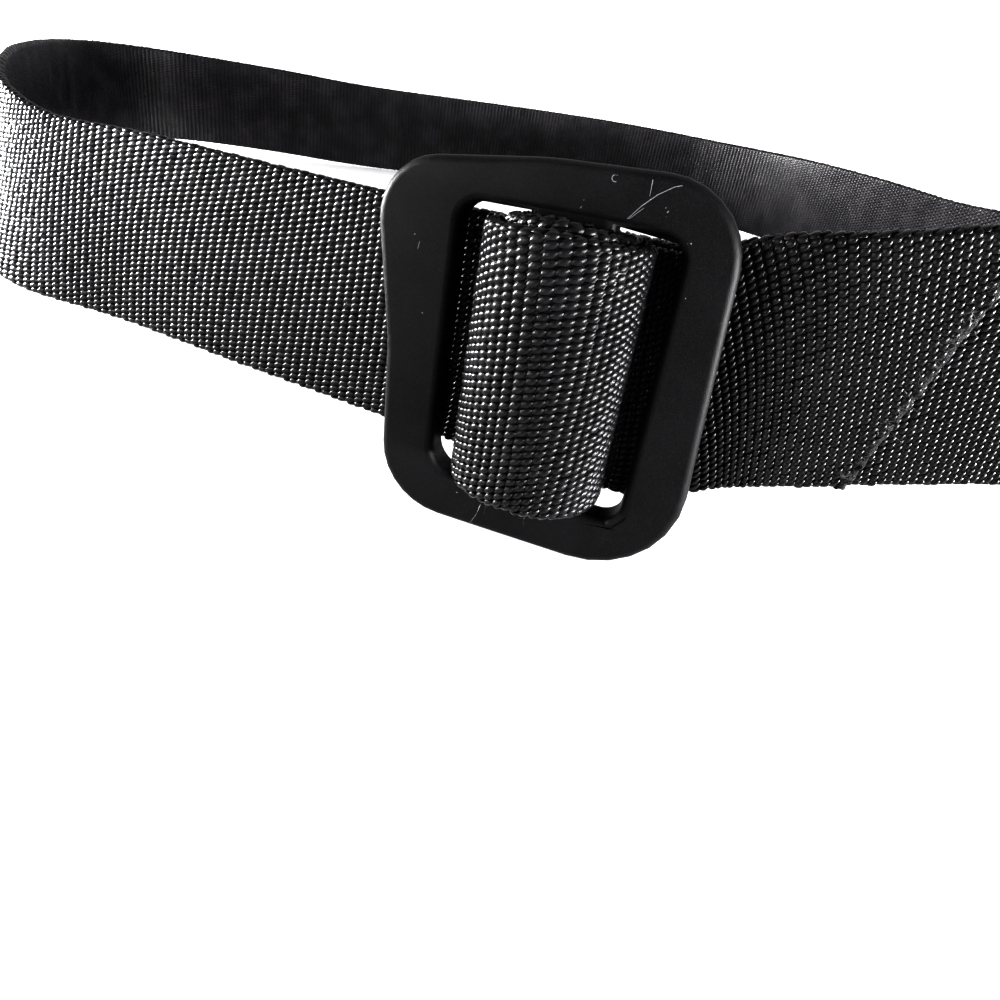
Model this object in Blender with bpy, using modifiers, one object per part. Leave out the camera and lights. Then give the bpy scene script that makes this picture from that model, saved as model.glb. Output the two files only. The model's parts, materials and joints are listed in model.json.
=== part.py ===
"""A webbing belt with a one-piece frame buckle, standing on its lower edge as a fastened loop.

The front of the belt faces -Y, the loop lies round the Z axis and the floor is Z = 0. The strap is one band:
a folded end behind the buckle, a first wrap round the buckle's bar, the way round the waist, a second wrap
over the first, and a free end with a slanting cut. Lengths are in metres and angles in degrees where named.
"""

import math

import bmesh
import bpy
import numpy as np
from mathutils import Euler, Matrix, Vector

MM = 0.001

# The webbing
STRAP_WIDTH = 38 * MM
STRAP_THICKNESS = 2.4 * MM
LAYER_GAP = 0.35 * MM
LAYER_PITCH = STRAP_THICKNESS + LAYER_GAP
LONGEST_STEP = 5 * MM
LARGEST_TURN = 10
FINE_STEP = 0.5 * MM
ACROSS_STEPS = 2

# Where the strap's two ends lie to the right of the buckle. The free end is cut on a slant.
FREE_END_LOWER = 75.5 * MM
FREE_END_UPPER = 83 * MM
FREE_END_RISE = 1.9 * MM
FOLDED_END = 64 * MM

# The loop's lower edge, from the right of the buckle round the back to its left. Places and the edge's height
# are in millimetres. The lean, top towards the inside, is in degrees.
LOOP_COLUMNS = ("x", "y", "foot", "lean")
LOOP_SECTIONS = (
    (70, -122.9, 15.8, 1.8),
    (83, -123.3, 18.9, 1.6),
    (96, -123.4, 21.8, 1.6),
    (117, -120.0, 24.2, 1.0),
    (137, -104.0, 23.0, 0.0),
    (150, -72.0, 17.3, 0.0),
    (156, -32.0, 9.5, 0.5),
    (157.5, 1.0, 5.7, 0.7),
    (156, 29.0, 4.5, 0.0),
    (151, 58.5, 3.3, 0.0),
    (141, 85.5, 2.0, 0.0),
    (125, 107.0, 0.7, 0.0),
    (104, 122.2, 0.0, 0.0),
    (79, 130.7, 0.0, 0.0),
    (55, 134.2, 0.0, 0.0),
    (29, 132.7, 0.0, 0.0),
    (4, 128.6, 0.0, 0.0),
    (-45, 117.6, 0.0, 0.0),
    (-71, 112.7, 0.4, -1.0),
    (-91, 109.2, 1.4, -2.0),
    (-116, 105.0, 2.2, -2.0),
    (-134, 99.0, 3.0, -1.0),
    (-149.8, 87.2, 4.1, 0.0),
    (-156.7, 64.0, 5.7, 0.6),
    (-154, 45.5, 6.7, 1.0),
    (-145, 22.0, 8.1, 1.5),
    (-129.5, -10.0, 9.7, 2.4),
    (-115, -39.5, 10.3, 7.0),
    (-106, -61.0, 9.0, 16.0),
    (-90, -78.5, 7.2, 22.5),
    (-62, -88.2, 7.2, 19.5),
    (-34.5, -97.3, 7.5, 15.5),
    (-12, -105.3, 8.0, 12.0),
)

# The buckle's place: the middle of its front face, with its tilt back, its roll and its turn
BUCKLE_PLACE = (29.3 * MM, -123.9 * MM, 31.28 * MM)
BUCKLE_ANGLES = (-8.73, -2.27, -14.37)

# The buckle's plate. Its outline is uneven, as on the real one: each corner has a place and a radius.
PLATE_THICKNESS = 5.2 * MM
PLATE_EDGE = 1.3 * MM
PLATE_EDGE_SEGMENTS = 3
CORNER_COLUMNS = ("across", "up", "radius")
OUTLINE_CORNERS = (
    (-28.7, 23.3, 9.0),
    (-4.0, 26.3, 60.0),
    (21.5, 27.0, 11.0),
    (24.4, -30.9, 14.5),
    (-23.2, -30.3, 11.0),
    (-24.4, -3.0, 45.0),
)
WINDOW_CORNERS = (
    (-15.0, 19.4, 3.0),
    (15.1, 19.4, 3.5),
    (15.1, -22.6, 3.0),
    (-15.0, -22.6, 4.5),
)
CORNER_STEPS = 7

# The buckle's centre bar, which the strap hides
BAR_ACROSS = 0.3 * MM
BAR_WIDTH = 12 * MM
BAR_THICKNESS = 4.4 * MM
BAR_SETBACK = 0.3 * MM
BAR_BITE = 2 * MM
BAR_ROUNDING = 0.98

# The middle of the belt's box in the plan of the tables above, which is the belt's origin
BOX_MIDDLE = (0.4 * MM, -1.2 * MM)

# How the strap passes the bar, measured from the buckle's front face. The arch is the strap's bulge.
ARCH_FRONT = 11 * MM
ARCH_SPRING = -1 * MM
ARCH_STEPS = 12
TURN_STEPS = 4
FOLD_TURN_END = 265
TURN_RADIUS = 3 * MM
TURN_CENTRE_SETBACK = 3.6 * MM
EXIT_ACROSS = 27.5 * MM
EXIT_SETBACK = 8.6 * MM

# Where the strap's lower edge passes the buckle, up from the buckle's middle. The second wrap is the outer one.
FOOT_COLUMNS = ("left_exit", "left_slot", "arch", "right_slot", "right_turn", "right_exit")
FIRST_WRAP_FEET = dict(zip(FOOT_COLUMNS, (None, -19.0, -17.8, -19.4, -20.0, -18.0)))
SECOND_WRAP_FEET = dict(zip(FOOT_COLUMNS, (-20.2, -20.0, -19.1, -20.2, -20.7, -16.8)))

# How far the strap's sections stand off square at the right of the buckle, in degrees, and how much more
# upright than the buckle they are where they leave it
TURN_SKEW = 2
EXIT_SKEW = 6
EXIT_STAND = 2.7
LOOP_START_SKEW = (5.0, 4.0, 3.0, 1.5)

# Angles in degrees: faces flatter than the first are merged, edges sharper than the others are rounded or
# shaded sharp
FLAT_ANGLE = 0.5
ROUNDED_ANGLE = 50
SHARP_ANGLE = 40
WELD = 0.01 * MM

STRAP_COLOUR = (0.012, 0.012, 0.013, 1.0)
STRAP_ROUGHNESS = 0.7
BUCKLE_COLOUR = (0.018, 0.018, 0.020, 1.0)
BUCKLE_ROUGHNESS = 0.45


def clear_scene():
    for item in list(bpy.data.objects):
        bpy.data.objects.remove(item, do_unlink=True)


def make_material(name, colour, roughness):
    """A dull coated or woven surface, with nothing of bare metal in it."""
    material = bpy.data.materials.new(name)
    material.use_nodes = True
    shader = material.node_tree.nodes["Principled BSDF"]
    shader.inputs["Base Color"].default_value = colour
    shader.inputs["Roughness"].default_value = roughness
    shader.inputs["Metallic"].default_value = 0.0
    return material


def columns_of(names, rows):
    """A table's columns by name."""
    return dict(zip(names, np.array(rows, float).T))


def buckle_matrix():
    turn = Euler([math.radians(angle) for angle in BUCKLE_ANGLES], "XYZ").to_matrix().to_4x4()
    middle = Vector((*BOX_MIDDLE, 0))
    return Matrix.Translation(Vector(BUCKLE_PLACE) - middle) @ turn


def on_buckle(across, front, up):
    """The world point at a place on the buckle, where front is the distance before its front face."""
    return np.array(buckle_matrix() @ Vector((across, -front, up)))


def buckle_up(skew=0.0, stand=0.0):
    """The buckle's up direction, with the top turned to the left and to the front by angles in degrees."""
    way = Vector((-math.tan(math.radians(skew)), -math.tan(math.radians(stand)), 1)).normalized()
    return np.array(buckle_matrix().to_3x3() @ way)


def unit(vector):
    return vector / np.linalg.norm(vector)


def curve_through(points, parameters, wanted):
    """Values at the wanted parameters of the natural cubic spline through the points."""
    steps = np.diff(parameters)
    count = len(points)
    matrix = np.eye(count)
    right = np.zeros_like(points)
    for row in range(1, count - 1):
        before, after = steps[row - 1], steps[row]
        matrix[row, row - 1 : row + 2] = (before, 2 * (before + after), after)
        rise = (points[row + 1] - points[row]) / after
        run = (points[row] - points[row - 1]) / before
        right[row] = 6 * (rise - run)
    bends = np.linalg.solve(matrix, right)
    index = np.clip(np.searchsorted(parameters, wanted) - 1, 0, count - 2)
    step = steps[index][:, None]
    ahead = (parameters[index + 1] - wanted)[:, None] / step
    behind = 1 - ahead
    low, high = bends[index], bends[index + 1]
    bend = ((ahead**3 - ahead) * low + (behind**3 - behind) * high) * step**2 / 6
    return ahead * points[index] + behind * points[index + 1] + bend


def arc(centre, radius, start, end, steps):
    """Points (across, front) on an arc about the centre, from one angle in degrees to another."""
    angles = np.radians(np.linspace(start, end, steps + 1))
    return [(centre[0] + radius * math.cos(a), centre[1] + radius * math.sin(a)) for a in angles]


def bar_wrap(layer):
    """Points (across, front) of the strap over the bar, left to right. Layer 0 is the outer one."""
    inward = layer * LAYER_PITCH
    half_width = BAR_WIDTH / 2 + LAYER_GAP + STRAP_THICKNESS / 2 + LAYER_PITCH - inward
    rise = ARCH_FRONT - STRAP_THICKNESS / 2 - inward - ARCH_SPRING
    angles = np.radians(np.linspace(180, 0, ARCH_STEPS + 1))
    return [(BAR_ACROSS + half_width * math.cos(a), ARCH_SPRING + rise * math.sin(a)) for a in angles]


def slot_turn(side, layer):
    """Points (across, front) where a layer leaves its slot for the back of the buckle, bar side first."""
    spread = BAR_WIDTH / 2 + LAYER_GAP + STRAP_THICKNESS / 2 + LAYER_PITCH + TURN_RADIUS
    centre = (BAR_ACROSS + spread, -TURN_CENTRE_SETBACK)
    points = arc(centre, TURN_RADIUS + layer * LAYER_PITCH, 180, 270, TURN_STEPS)
    if side == "left":
        points = [(2 * BAR_ACROSS - across, front) for across, front in points]
    return points


def folded_turn():
    """Points (across, front) of the first wrap under the bar's left side, then back to the right behind it."""
    corner = BAR_THICKNESS / 2
    centre = (BAR_ACROSS - BAR_WIDTH / 2 + corner, -BAR_SETBACK - corner)
    radius = corner + LAYER_GAP + STRAP_THICKNESS / 2
    return arc(centre, radius, 180, FOLD_TURN_END, TURN_STEPS)


def on_buckle_rows(points, feet, skews=None):
    """Section rows (foot point, up direction) for points (across, front) with the lower edge at each height."""
    if skews is None:
        skews = [0.0] * len(points)
    return [
        (on_buckle(across, front, foot * MM), buckle_up(skew))
        for (across, front), foot, skew in zip(points, feet, skews)
    ]


def loop_rows():
    """Section rows (foot point, up direction) of the loop from its table."""
    columns = columns_of(LOOP_COLUMNS, LOOP_SECTIONS)
    feet = np.stack([columns["x"], columns["y"], columns["foot"]], axis=1) * MM
    feet[:, :2] -= BOX_MIDDLE
    ways = np.gradient(feet, axis=0)
    skews = np.zeros(len(feet))
    skews[: len(LOOP_START_SKEW)] = np.radians(LOOP_START_SKEW)
    rows = []
    for foot, way, lean, skew in zip(feet, ways, np.radians(columns["lean"]), skews):
        outward = unit(np.cross(way, (0, 0, 1)))
        upright = unit(unit(np.cross(outward, way)) + unit(way) * math.tan(skew))
        rows.append((foot, upright * math.cos(lean) - outward * math.sin(lean)))
    return rows


def smooth_rows(rows, step):
    """The rows of a smooth strip through the given ones, a short step apart."""
    feet = np.array([foot for foot, _ in rows])
    ups = np.array([up for _, up in rows])
    spans = np.linalg.norm(np.diff(feet + ups * STRAP_WIDTH / 2, axis=0), axis=1)
    parameters = np.concatenate([[0.0], np.cumsum(spans)])
    wanted = np.linspace(0, parameters[-1], int(parameters[-1] / step) + 1)
    feet = curve_through(feet, parameters, wanted)
    ups = curve_through(ups, parameters, wanted)
    return [(foot, unit(up)) for foot, up in zip(feet, ups)]


def shifted_rows(rows, distance, rise):
    """The rows moved outward from the loop by a distance and raised, for a layer that lies on another."""
    feet = np.array([foot for foot, _ in rows])
    ways = np.gradient(feet, axis=0)
    return [
        (foot + unit(np.cross(way, up)) * distance + up * rise, up)
        for (foot, up), way in zip(rows, ways)
    ]


def arch_rows(layer, feet):
    """Rows of a layer over the bar, from its left slot to its right one."""
    arch = bar_wrap(layer)
    rise = [feet["left_slot"], feet["arch"], feet["right_slot"]]
    return on_buckle_rows(arch, np.interp(np.linspace(0, 2, len(arch)), [0, 1, 2], rise))


def right_turn_rows(layer, feet):
    """Rows of a layer from its right slot to just past the buckle's right rim."""
    turn = slot_turn("right", layer)
    heights = np.linspace(feet["right_slot"], feet["right_turn"], len(turn))
    rows = on_buckle_rows(turn, heights, np.linspace(0, TURN_SKEW, len(turn)))
    leaving = on_buckle(EXIT_ACROSS, -EXIT_SETBACK - layer * LAYER_PITCH, feet["right_exit"] * MM)
    return rows + [(leaving, buckle_up(EXIT_SKEW, EXIT_STAND))]


def layers_at_right(layer):
    """Rows of one of the layers that lie on each other at the right of the buckle, as far as the loop's turn."""
    to_the_turn = loop_rows()[: len(LOOP_START_SKEW)]
    middle = smooth_rows(right_turn_rows(1, FIRST_WRAP_FEET) + to_the_turn, LONGEST_STEP)
    rise = FREE_END_RISE if layer == 0 else 0
    return shifted_rows(middle, (1 - layer) * LAYER_PITCH, rise)


def beyond(rows, across):
    """The rows past a place across the belt's front."""
    return [row for row in rows if row[0][0] > across]


def strap_rows():
    """Section rows of the whole strap, folded end first."""
    first, second = FIRST_WRAP_FEET, SECOND_WRAP_FEET
    behind_bar = on_buckle(BAR_ACROSS + 2 * TURN_RADIUS + BAR_WIDTH / 2, 0, 0)[0]
    folded = [row for row in beyond(layers_at_right(2), behind_bar) if row[0][0] < FOLDED_END]
    bend = folded_turn()
    rows = folded[::-1]
    rows += on_buckle_rows(bend[::-1], [first["left_slot"]] * len(bend))
    rows += arch_rows(1, first)
    rows += right_turn_rows(1, first)
    rows += loop_rows()
    rows += on_buckle_rows([(2 * BAR_ACROSS - EXIT_ACROSS, -EXIT_SETBACK)], [second["left_exit"]])
    turn = slot_turn("left", 0)[::-1]
    rows += on_buckle_rows(turn, [second["left_slot"]] * len(turn))
    rows += arch_rows(0, second)
    rows += right_turn_rows(0, second)
    return rows + beyond(layers_at_right(0), loop_rows()[0][0][0] - LONGEST_STEP)


def thinned(feet):
    """Indices of the fine rows that are kept: a new one where the way has turned enough or run far enough."""
    ways = np.diff(feet, axis=0)
    kept = [0]
    for index in range(1, len(feet) - 1):
        turned = Vector(ways[kept[-1]]).angle(Vector(ways[index]))
        far = np.linalg.norm(feet[index] - feet[kept[-1]])
        if turned > math.radians(LARGEST_TURN) or far > LONGEST_STEP:
            kept.append(index)
    return kept + [len(feet) - 1]


def strap_sections():
    """Sections of the strap's middle surface, each a list of points from its lower to its upper edge.

    Past the buckle's right rim they lean over step by step, so that the last one is the free end's cut.
    """
    rows = smooth_rows(strap_rows(), FINE_STEP)
    feet = np.array([foot for foot, _ in rows])
    ups = np.array([up for _, up in rows])
    feet[:, 2] = np.maximum(feet[:, 2], 0)
    places = np.arange(len(feet), dtype=float)
    last_exit = on_buckle(EXIT_ACROSS, 0, 0)[0]
    start = len(feet) - int(np.argmax(feet[::-1, 0] < last_exit))
    edges = [feet + ups * height for height in np.linspace(0, STRAP_WIDTH, ACROSS_STEPS + 1)]
    ends = np.linspace(FREE_END_LOWER, FREE_END_UPPER, len(edges))
    stops = [np.interp(end, edge[start:, 0], places[start:]) for edge, end in zip(edges, ends)]
    last = round(sum(stops) / len(stops))
    sections = []
    for index in thinned(feet[: last + 1]):
        past = max(0, index - start) / (last - start)
        section = []
        for edge, stop in zip(edges, stops):
            place = index + past * (stop - last)
            section.append([np.interp(place, places, edge[:, axis]) for axis in range(3)])
        sections.append(section)
    return sections


def make_strap(collection):
    mesh = bpy.data.meshes.new("strap")
    form = bmesh.new()
    columns = [[form.verts.new(point) for point in section] for section in strap_sections()]
    for left, right in zip(columns[:-1], columns[1:]):
        for low in range(ACROSS_STEPS):
            form.faces.new((left[low], right[low], right[low + 1], left[low + 1]))
    form.to_mesh(mesh)
    form.free()
    mesh.shade_smooth()
    strap = bpy.data.objects.new("strap", mesh)
    collection.objects.link(strap)
    wall = strap.modifiers.new("webbing thickness", "SOLIDIFY")
    wall.thickness = STRAP_THICKNESS
    wall.offset = 0
    mesh.materials.append(make_material("black webbing", STRAP_COLOUR, STRAP_ROUGHNESS))
    return strap


def rounded_outline(corners):
    """Points round a polygon whose corners are arcs of the given radii."""
    columns = columns_of(CORNER_COLUMNS, corners)
    places = [Vector(place) * MM for place in zip(columns["across"], columns["up"])]
    points = []
    for index, place in enumerate(places):
        radius = columns["radius"][index] * MM
        before = (places[index - 1] - place).normalized()
        after = (places[(index + 1) % len(places)] - place).normalized()
        half_angle = before.angle(after) / 2
        centre = place + (before + after).normalized() * radius / math.sin(half_angle)
        start = place + before * radius / math.tan(half_angle) - centre
        end = place + after * radius / math.tan(half_angle) - centre
        sweep = start.angle_signed(end)
        for step in range(CORNER_STEPS + 1):
            turn = Matrix.Rotation(-sweep * step / CORNER_STEPS, 2)
            points.append(centre + turn @ start)
    return points


def extruded(name, outlines, depth):
    """A mesh object from flat outlines, its depth centred on the outlines' plane."""
    curve = bpy.data.curves.new(name, "CURVE")
    curve.dimensions = "2D"
    curve.fill_mode = "BOTH"
    curve.extrude = depth / 2
    for outline in outlines:
        spline = curve.splines.new("POLY")
        spline.points.add(len(outline) - 1)
        for point, place in zip(spline.points, outline):
            point.co = (place[0], place[1], 0, 1)
        spline.use_cyclic_u = True
    guide = bpy.data.objects.new(name, curve)
    bpy.context.scene.collection.objects.link(guide)
    bpy.context.view_layer.update()
    evaluated = guide.evaluated_get(bpy.context.evaluated_depsgraph_get())
    mesh = bpy.data.meshes.new_from_object(evaluated)
    bpy.data.objects.remove(guide)
    form = bmesh.new()
    form.from_mesh(mesh)
    bmesh.ops.remove_doubles(form, verts=form.verts, dist=WELD)
    bmesh.ops.dissolve_limit(form, angle_limit=math.radians(FLAT_ANGLE), verts=form.verts, edges=form.edges)
    bmesh.ops.recalc_face_normals(form, faces=form.faces)
    form.to_mesh(mesh)
    form.free()
    return bpy.data.objects.new(name, mesh)


def make_bar(cutters):
    """The centre bar, a rounded strip along the buckle's height that reaches into both rims."""
    left = (BAR_ACROSS - BAR_WIDTH / 2) / MM
    right = (BAR_ACROSS + BAR_WIDTH / 2) / MM
    half = BAR_THICKNESS / 2 / MM
    radius = half * BAR_ROUNDING
    section = rounded_outline(
        ((left, half, radius), (right, half, radius), (right, -half, radius), (left, -half, radius))
    )
    top = WINDOW_CORNERS[0][1] * MM + BAR_BITE
    bottom = WINDOW_CORNERS[2][1] * MM - BAR_BITE
    bar = extruded("centre_bar", [section], top - bottom)
    cutters.objects.link(bar)
    bar.location = (0, BAR_SETBACK + BAR_THICKNESS / 2, (top + bottom) / 2)
    bar.hide_render = True
    bar.display_type = "WIRE"
    return bar


def make_buckle(collection, cutters):
    """The frame with its bar: a plate with a window, lying in XZ, front face at Y = 0 of its own axes."""
    plate = extruded(
        "buckle_frame",
        [rounded_outline(OUTLINE_CORNERS), rounded_outline(WINDOW_CORNERS)],
        PLATE_THICKNESS,
    )
    stand = Matrix.Translation((0, PLATE_THICKNESS / 2, 0)) @ Matrix.Rotation(math.radians(90), 4, "X")
    plate.data.transform(stand)
    collection.objects.link(plate)
    plate.matrix_world = buckle_matrix()
    bar = make_bar(cutters)
    bar.parent = plate
    edge = plate.modifiers.new("rounded edges", "BEVEL")
    edge.width = PLATE_EDGE
    edge.segments = PLATE_EDGE_SEGMENTS
    edge.use_clamp_overlap = False
    edge.limit_method = "ANGLE"
    edge.angle_limit = math.radians(ROUNDED_ANGLE)
    join = plate.modifiers.new("bar", "BOOLEAN")
    join.operation = "UNION"
    join.solver = "EXACT"
    join.object = bar
    plate.data.shade_smooth()
    plate.data.set_sharp_from_angle(angle=math.radians(SHARP_ANGLE))
    plate.data.materials.append(make_material("black coated alloy", BUCKLE_COLOUR, BUCKLE_ROUGHNESS))
    return plate


def main():
    clear_scene()
    belt = bpy.data.collections.new("belt")
    cutters = bpy.data.collections.new("guides")
    bpy.context.scene.collection.children.link(belt)
    bpy.context.scene.collection.children.link(cutters)
    make_strap(belt)
    make_buckle(belt, cutters)


main()
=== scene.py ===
"""The looks of a black webbing belt: its woven strap, the coated frame buckle and a small pale studio.

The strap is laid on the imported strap's own lines. Its weave is modelled yarn by yarn, as rounded floats that
dive under each other. Lengths are in metres, and angles in degrees where they are named so.
"""

import json
import math

import bmesh
import bpy
import numpy as np
from bpy.props import FloatProperty, FloatVectorProperty, IntProperty, PointerProperty
from mathutils import Euler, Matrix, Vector

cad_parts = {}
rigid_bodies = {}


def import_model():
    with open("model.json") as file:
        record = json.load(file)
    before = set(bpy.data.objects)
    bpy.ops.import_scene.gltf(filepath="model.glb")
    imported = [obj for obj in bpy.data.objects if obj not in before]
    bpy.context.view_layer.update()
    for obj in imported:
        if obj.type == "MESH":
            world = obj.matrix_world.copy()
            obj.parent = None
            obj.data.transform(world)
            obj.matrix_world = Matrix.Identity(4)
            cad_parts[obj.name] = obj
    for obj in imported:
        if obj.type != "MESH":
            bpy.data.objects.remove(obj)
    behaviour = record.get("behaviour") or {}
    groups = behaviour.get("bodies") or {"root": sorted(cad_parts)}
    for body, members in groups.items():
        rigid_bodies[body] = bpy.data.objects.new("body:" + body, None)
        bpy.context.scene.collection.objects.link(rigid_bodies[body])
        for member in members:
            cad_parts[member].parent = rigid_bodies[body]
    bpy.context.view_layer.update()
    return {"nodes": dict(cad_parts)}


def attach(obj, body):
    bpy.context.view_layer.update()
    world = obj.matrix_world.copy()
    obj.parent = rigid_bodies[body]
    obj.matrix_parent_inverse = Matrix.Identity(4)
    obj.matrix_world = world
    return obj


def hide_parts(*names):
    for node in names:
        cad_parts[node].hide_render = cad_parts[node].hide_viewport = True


bl_info = {
    "name": "Webbing belt",
    "version": (1, 0, 0),
    "blender": (4, 5, 0),
    "location": "3D View > Sidebar > Belt",
    "description": "Builds a woven belt with its frame buckle and a small studio round it",
    "category": "Object",
}

MM = 0.001
BODY = "root"
STRAP_NODE = "strap"
BUCKLE_NODE = "buckle_frame"

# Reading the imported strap: points closer than the weld are one, and an edge this sharp is a rim of the strap
WELD = 0.01 * MM
RIM_ANGLE = 65
SHORTEST_RIM = 50
FINE_STEP = 0.4 * MM
LEVEL_LINES = 9
DRIFT_STEPS = 51

# The weave's column spacing along the strap, from the folded end. The yarns are crowded in where the strap is
# pulled tight at the buckle, and the visible left stretch is drawn out.
PITCH_COLUMNS = ("distance", "pitch")
PITCHES = (
    (0, 1.25),
    (95, 1.2),
    (125, 1.1),
    (200, 1.4),
    (400, 1.6),
    (750, 1.75),
    (885, 1.98),
    (935, 2.0),
    (960, 1.78),
    (990, 1.5),
    (1012, 1.37),
    (1030, 1.28),
    (1050, 1.17),
    (1080, 1.08),
)

# How the weave's columns slant, top towards the free end, at three heights up the strap, in degrees
SLANT_COLUMNS = ("distance", "low", "middle", "high")
SLANT_HEIGHTS = (0.14, 0.5, 0.86)
SLANTS = (
    (0, 0, 0, 0),
    (820, 0, 0, 0),
    (880, -7.8, -9.5, -8.6),
    (897, -3.7, -3.9, -1.9),
    (910, -4.6, 0.2, 7.6),
    (922, -4.6, 2.5, 10.9),
    (934, -0.8, 4.1, 9.5),
    (945, 3.0, 4.5, 5.7),
    (959, 4.6, 5.0, 5.4),
    (985, 4.6, 1.9, -2.0),
    (1008, 2.6, 0.2, -1.8),
    (1020, 0.0, -3.0, -5.0),
    (1052, 2.1, 0.1, -2.6),
    (1062, -0.7, -3.0, -6.4),
    (1080, -2.0, -5.3, -7.0),
)

# How much higher than its middle a float's end towards the free end stands, as a share of its height
LIFT_COLUMNS = ("distance", "lift")
LIFTS = ((0, 0.3), (200, 0.3), (300, 0), (835, -0.3), (1003, -0.3), (1013, 0), (1021, 0.35), (1080, 0.35))

# Stretches of the strap: name, start and stop from the folded end, and how finely their floats are modelled,
# as the number of faces along and across each float on the outer side, and on the inner side
STRETCHES = (
    ("inner_wrap", -30, 100, (3, 3), (2, 2)),
    ("right_front", 100, 185, (6, 4), (2, 2)),
    ("right_side", 185, 500, (3, 2), (2, 2)),
    ("left_side", 500, 835, (3, 2), (2, 2)),
    ("left_front", 835, 978, (6, 4), (2, 2)),
    ("outer_wrap", 978, 1130, (6, 4), (2, 2)),
)

# The yarn's brightness on the strap's inner side and in the core between the floats, as a share of that on
# the outer side. The inner side's lighter copy is a painted sheen, and the core's darker copy is painted
# shade.
INNER_PAINTED_SHEEN = 4.0
CORE_PAINTED_SHADE = 0.6

# The shape of a float: how far its sides reach as a share of its width and its ends as a share of the column
# spacing, how much narrower its ends are, and how deep its rim is sunk into the core
FLOAT_REACH = 0.53
FLOAT_TAPER = 0.7
FLOAT_ROOT = 0.06 * MM

# How much a float's height, its place across, its length and its place along vary with the unevenness
HEIGHT_SPREAD = 1.2
ACROSS_SPREAD = 0.35
LENGTH_SPREAD = 0.1
ALONG_SPREAD = 0.25

# How far the outer side's floats go round the strap's edges, as a share of the half turn
OUTER_TURN = 0.72

# The faces of the core: round each edge, on each half of a flat side, and along the strap
CORE_TURN_STEPS = 6
CORE_FLAT_STEPS = 5
CORE_STEP = 1 * MM

# Margin of each float's cell in its baked layout, as a share of the cell
CELL_MARGIN = 0.08

# The buckle's middle and its turns on the belt. Its own axes are across, back and up. Its face is what lies
# less than the depth behind its middle.
BUCKLE_PLACE = (28.9 * MM, -122.7 * MM, 31.28 * MM)
BUCKLE_ANGLES = (-8.73, -2.27, -14.37)
FACE_DEPTH = 0.05 * MM
FLAT_ANGLE = 0.5

# Hairline scratches on the buckle's face, in millimetres: from across and up, to across and up, and half the
# width. The ring has a middle, a radius and half its width.
SCRATCHES = (
    ((9.08, 26.3), (9.17, 24.9), 0.06),
    ((9.17, 24.9), (9.2, 23.6), 0.035),
    ((12.85, 26.1), (13.18, 25.6), 0.06),
    ((13.18, 25.6), (11.85, 25.14), 0.05),
    ((11.85, 25.14), (10.12, 23.96), 0.05),
    ((10.12, 23.96), (8.5, 22.33), 0.055),
    ((8.5, 22.33), (6.48, 19.66), 0.045),
    ((8.84, 22.15), (7.34, 20.55), 0.035),
    ((11.7, 22.05), (11.82, 22.3), 0.07),
    ((11.36, 22.55), (11.46, 22.65), 0.06),
    ((1.06, 20.8), (1.2, 21.05), 0.05),
    ((0.45, 20.0), (0.52, 20.08), 0.06),
    ((16.35, 12.2), (16.45, 12.35), 0.06),
    ((-20.55, 11.5), (-20.35, 12.6), 0.04),
)
SMALL_RING = ((4.66, 25.02), 0.42, 0.055)

# The free end: the places up the cut where most filaments have come loose, with their spread, as shares of
# its height, and the reach of the largest melted lump, at its lower corner
FRAYED = ((0.55, 0.05), (0.33, 0.05))
LUMP_REACH = 5.5 * MM

# The long loose fibre under the front fold: where along the strap it comes out, in metres, and its way down,
# in millimetres
FIBRE_FROM = 1.0065
FIBRE_STEPS = ((0, 0, 0), (-0.3, -0.9, -0.9), (-0.9, -1.2, -2.2), (-1.4, -1.0, -3.6), (-1.5, -0.6, -4.7))

# The melted band's section over the cut: how far behind the cut in band widths, or ahead of it in millimetres
# where negative, then its share of the core's half thickness, then its share of a float's height
SEAL_PROFILE = (
    (1.0, 0.95, 0.1),
    (0.8, 1.0, 0.75),
    (0.5, 1.0, 1.0),
    (0.2, 1.0, 1.1),
    (-0.1, 0.85, 0.8),
    (-0.32, 0.3, 0.1),
    (-0.3, -0.4, -0.1),
    (0.0, -0.9, -0.45),
    (0.35, -1.0, -0.45),
    (0.8, -0.9, -0.1),
)
SEAL_STEPS = 170

# Loose fibres are tubes with so many sides and points, and their tips are this share of their roots' width
FIBRE_SIDES = 4
FIBRE_POINTS = 7
FIBRE_TIP = 0.45

# The stretch of the front with fuzz: its start, and how far from the free end it stops
FUZZ_FROM = 0.84
FUZZ_SHORT_OF_END = 0.03

# The camera, as the belt was looked at
CAMERA_PLACE = (0.0227, -0.19685, 0.06992)
CAMERA_ANGLES = (60.007, -7.982, 4.175)
CAMERA_LENS = 21.564
CAMERA_SENSOR = 36
CAMERA_SHIFT = -0.125
CAMERA_NEAREST = 0.001

# The soft lights: name, place, aim, size, the setting with their power, and their spread in degrees. Two
# shine straight down on the floor beside the belt.
BELT_MIDDLE = (0.0, -0.05, 0.03)
LIGHTS = (
    ("window", (-0.9, 0.14, 0.09), BELT_MIDDLE, (0.36, 0.2), "window_power", 180),
    ("left front", (-0.4, -0.45, 0.12), BELT_MIDDLE, (0.3, 0.2), "front_power", 180),
    ("right side", (0.56, -0.4, 0.06), BELT_MIDDLE, (0.34, 0.1), "side_power", 180),
    ("left floor light", (-0.36, 0, 0.3), (-0.36, 0, 0), (0.2, 0.3), "floor_power", 50),
    ("right floor light", (0.34, -0.02, 0.3), (0.34, -0.02, 0), (0.2, 0.3), "floor_power", 50),
    ("overhead", (0.0, 0.35, 0.9), BELT_MIDDLE, (0.8, 0.6), "top_power", 180),
)
FLOOR_SIZE = 8

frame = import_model()


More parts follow.
